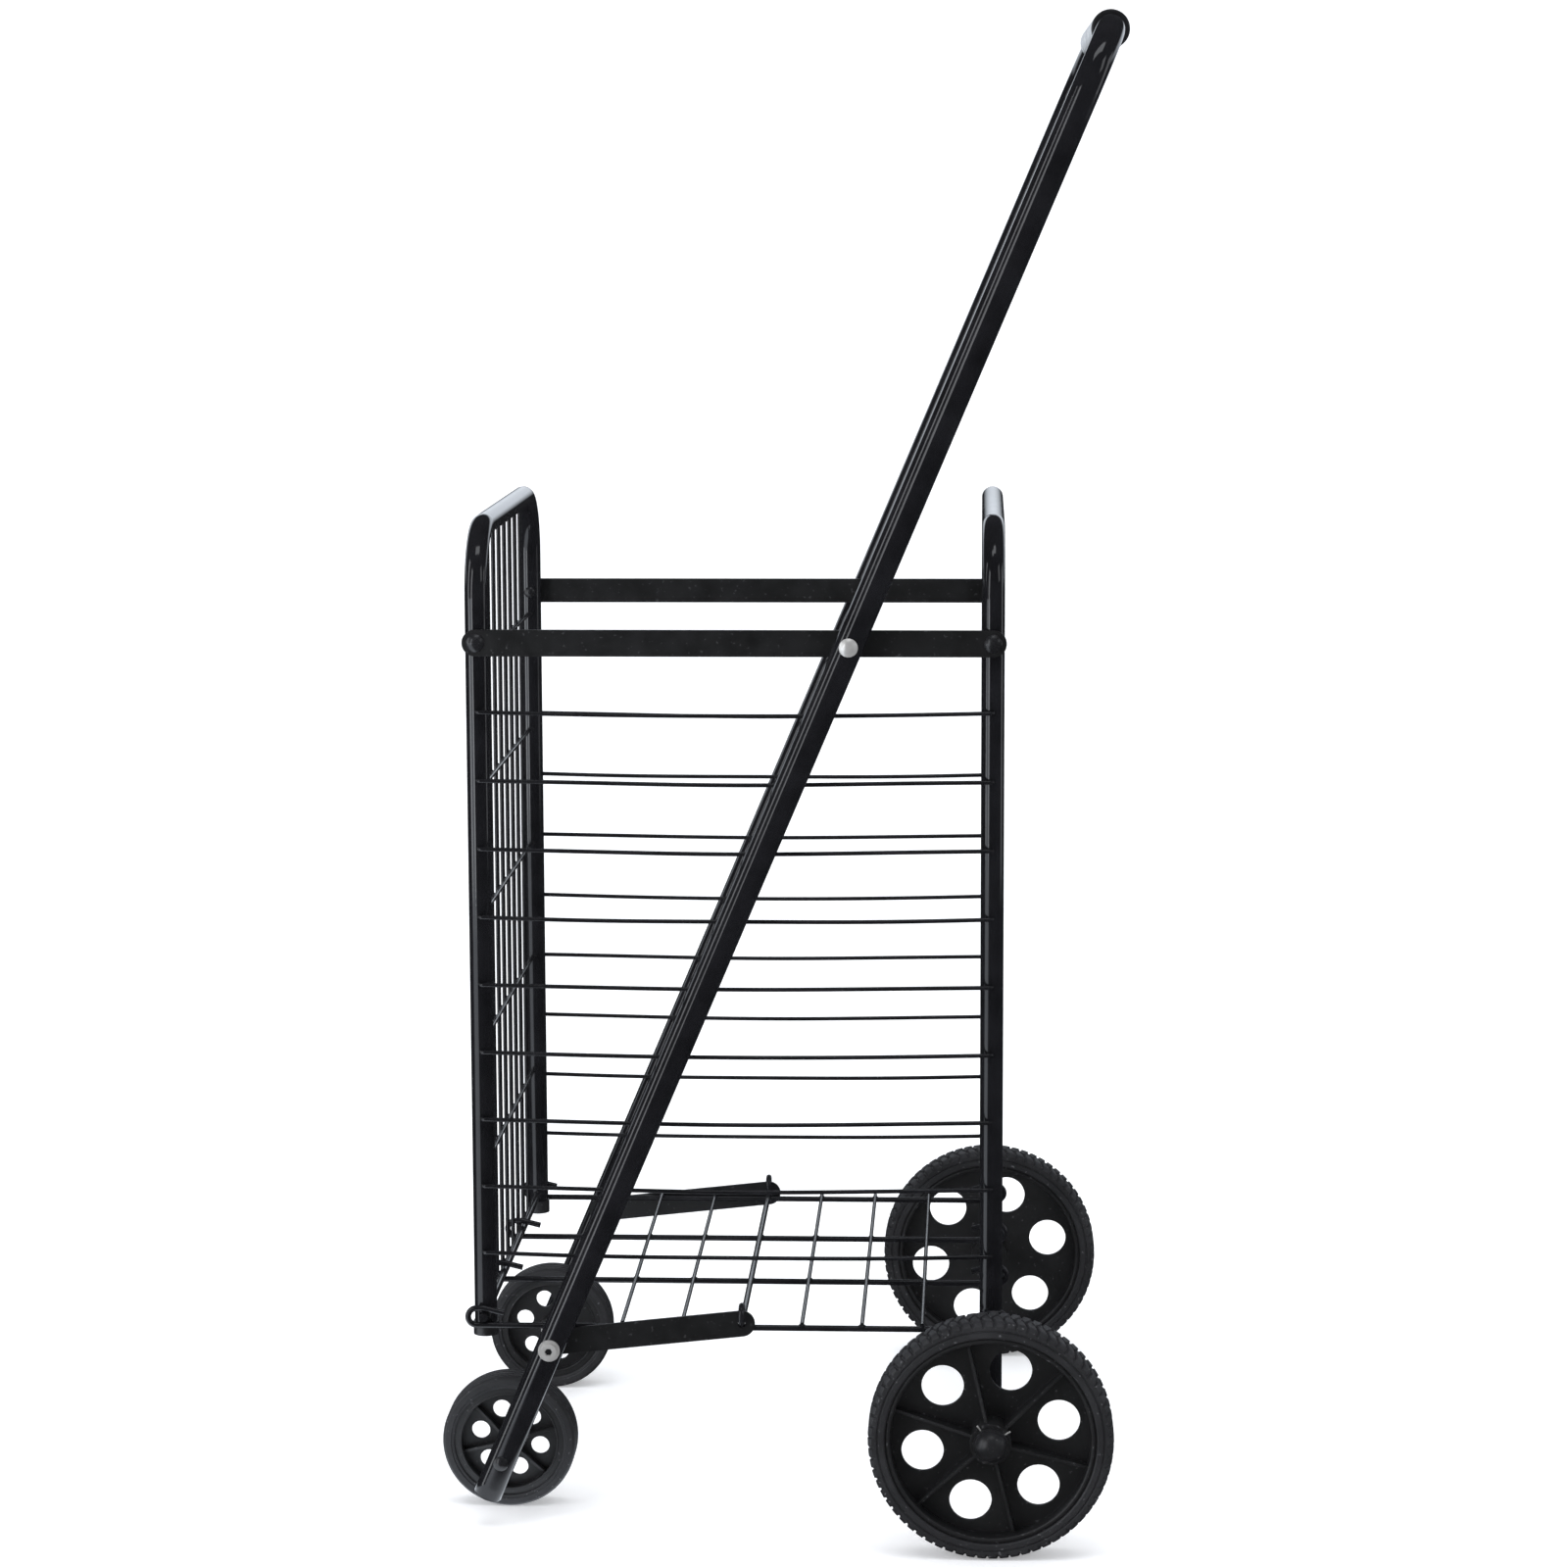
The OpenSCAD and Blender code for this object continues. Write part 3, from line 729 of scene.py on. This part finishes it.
def studio_material():
    """Pale floor and wall that look even to the camera and have a brightness of their own in reflections."""
    f = Finish("pale_stage")
    cloud = f.spread(f.noise(STAGE_CLOUD_SCALE, detail=2), 0, 1)
    colour = f.mix(cloud, STAGE_DARK, STAGE_LIGHT)
    f.link(colour, f.shader.inputs["Base Color"])
    f.shader.inputs["Roughness"].default_value = 0.9
    f.shader.inputs["Specular IOR Level"].default_value = 0.0
    f.link(colour, f.shader.inputs["Emission Color"])
    f.shader.inputs["Emission Strength"].default_value = STAGE_GLOW
    mirrored = f.node("ShaderNodeEmission")
    mirrored.inputs["Color"].default_value = MIRRORED_COLOUR
    f.link(mirrored_strength(f), mirrored.inputs["Strength"])
    path = f.node("ShaderNodeLightPath")
    choose = f.node("ShaderNodeMixShader")
    f.link(path.outputs["Is Glossy Ray"], choose.inputs["Fac"])
    f.link(f.shader.outputs["BSDF"], choose.inputs[1])
    f.link(mirrored.outputs["Emission"], choose.inputs[2])
    output = f.tree.nodes["Material Output"]
    f.link(choose.outputs["Shader"], output.inputs["Surface"])
    return f.material


def sweep_stage():
    """Floor that curves up into a back wall."""
    half_width, front_y, back_y, radius, top_z = 9.0, -7.0, 3.2, 1.6, 6.0
    steps = 16
    outline = [(front_y, 0.0), (back_y - radius, 0.0)]
    for k in range(1, steps + 1):
        a = k / steps * math.pi / 2
        outline.append((back_y - radius + radius * math.sin(a), radius * (1 - math.cos(a))))
    outline.append((back_y, top_z))
    sheet = bmesh.new()
    rows = [[sheet.verts.new((x, y, z)) for x in (-half_width, half_width)] for y, z in outline]
    for here, there in zip(rows, rows[1:]):
        sheet.faces.new((here[0], here[1], there[1], there[0]))
    mesh = bpy.data.meshes.new("studio_sweep")
    sheet.to_mesh(mesh)
    sheet.free()
    for face in mesh.polygons:
        face.use_smooth = True
    mesh.materials.append(studio_material())
    stage = bpy.data.objects.new("studio_sweep", mesh)
    bpy.context.scene.collection.objects.link(stage)


TROLLEY_MIDDLE = Vector((0, 0, 0.45))
COOL = (0.93, 0.96, 1.0)
WORLD_LIGHT, WORLD_MIRRORED = 0.55, 0.03


def softbox(name, place, size, radiance, colour, mirrored=True, lights=True):
    """Rectangular light of a given brightness that faces the trolley."""
    data = bpy.data.lights.new(name, "AREA")
    data.shape = "RECTANGLE"
    data.size, data.size_y = size
    data.energy = radiance * math.pi * size[0] * size[1]
    data.color = colour
    light = bpy.data.objects.new(name, data)
    light.location = place
    light.rotation_euler = (TROLLEY_MIDDLE - Vector(place)).to_track_quat("-Z", "Y").to_euler()
    light.visible_glossy = mirrored
    light.visible_diffuse = lights
    bpy.context.scene.collection.objects.link(light)


def light_studio():
    """Broad lights that are not mirrored, streaks that are only mirrored, and one strip that is both."""
    key_place = (-2.0, -1.35, 0.95)
    softbox("key_left", key_place, (0.9, 2.2), 3.2, COOL, mirrored=False)
    softbox("key_streak", key_place, (2.0, 2.2), 3.0, COOL, lights=False)
    softbox("fill_right", (2.3, -1.5, 0.9), (0.9, 2.0), 1.5, COOL, mirrored=False)
    softbox("edge_right", (2.6, 0.2, 0.6), (0.8, 1.6), 1.2, COOL, lights=False)
    softbox("streak_right", (2.2, -1.3, 1.7), (0.6, 0.9), 1.6, COOL, lights=False)
    softbox("overhead", (0, -0.2, 3.2), (3.4, 3.0), 2.2, (0.97, 0.98, 1.0), mirrored=False)
    softbox("overhead_strip", (0.2, -0.9, 2.6), (1.2, 0.5), 2.4, COOL)


def light_world():
    """Even light from all round, dim in reflections."""
    world = bpy.data.worlds.new("studio")
    bpy.context.scene.world = world
    world.use_nodes = True
    tree = world.node_tree
    shade = tree.nodes["Background"]
    path = tree.nodes.new("ShaderNodeLightPath")
    reach = tree.nodes.new("ShaderNodeMapRange")
    reach.inputs["To Min"].default_value = WORLD_LIGHT
    reach.inputs["To Max"].default_value = WORLD_MIRRORED
    tree.links.new(path.outputs["Is Glossy Ray"], reach.inputs["Value"])
    tree.links.new(reach.outputs["Result"], shade.inputs["Strength"])
    shade.inputs["Color"].default_value = (0.95, 0.97, 1.0, 1)


CAMERA_PLACE = Vector((0.1327, -2.842, 0.8922))
CAMERA_YAW, CAMERA_PITCH, CAMERA_ROLL = math.radians(-2.72), math.radians(8.36), math.radians(-0.20)
SENSOR_MM, LENS_MM = 36.0, 94.84


def place_camera():
    """Camera at the matched place: yaw about Z, pitch downwards, roll about its view."""
    ahead = Vector((math.sin(CAMERA_YAW) * math.cos(CAMERA_PITCH),
                    math.cos(CAMERA_YAW) * math.cos(CAMERA_PITCH), -math.sin(CAMERA_PITCH)))
    level = Vector((math.cos(CAMERA_YAW), -math.sin(CAMERA_YAW), 0))
    up = level.cross(ahead)
    right = level * math.cos(CAMERA_ROLL) + up * math.sin(CAMERA_ROLL)
    up = up * math.cos(CAMERA_ROLL) - level * math.sin(CAMERA_ROLL)
    data = bpy.data.cameras.new("camera")
    data.sensor_width = SENSOR_MM
    data.lens = LENS_MM
    data.clip_start, data.clip_end = 0.1, 60
    camera = bpy.data.objects.new("camera", data)
    turn = Matrix((right, up, -ahead)).transposed().to_4x4()
    camera.matrix_world = Matrix.Translation(CAMERA_PLACE) @ turn
    bpy.context.scene.collection.objects.link(camera)
    bpy.context.scene.camera = camera


SIDES = {"left": -1, "right": 1}

dress_cad()
for wire_level in range(1, 10):
    sagging_wires(wire_level)
for name_of_side, sign in SIDES.items():
    lugged_tyre(name_of_side, sign)
    grooved_tyre(name_of_side, sign)
    rim_lip("rear", name_of_side, sign, REAR_LIP)
    rim_lip("front", name_of_side, sign, FRONT_LIP)
    cap_nub(name_of_side, sign)
    hub_clip(name_of_side, sign)
hooked_base_wires()
grille_welds("rear_grille", "rear_frame", "rear_grille_welds")
grille_welds("front_grille", "front_frame", "front_grille_welds")
base_welds()
leg_tips()
bolt_sockets()
sweep_stage()
light_studio()
light_world()
place_camera()
bpy.context.scene.view_settings.view_transform = "Standard"
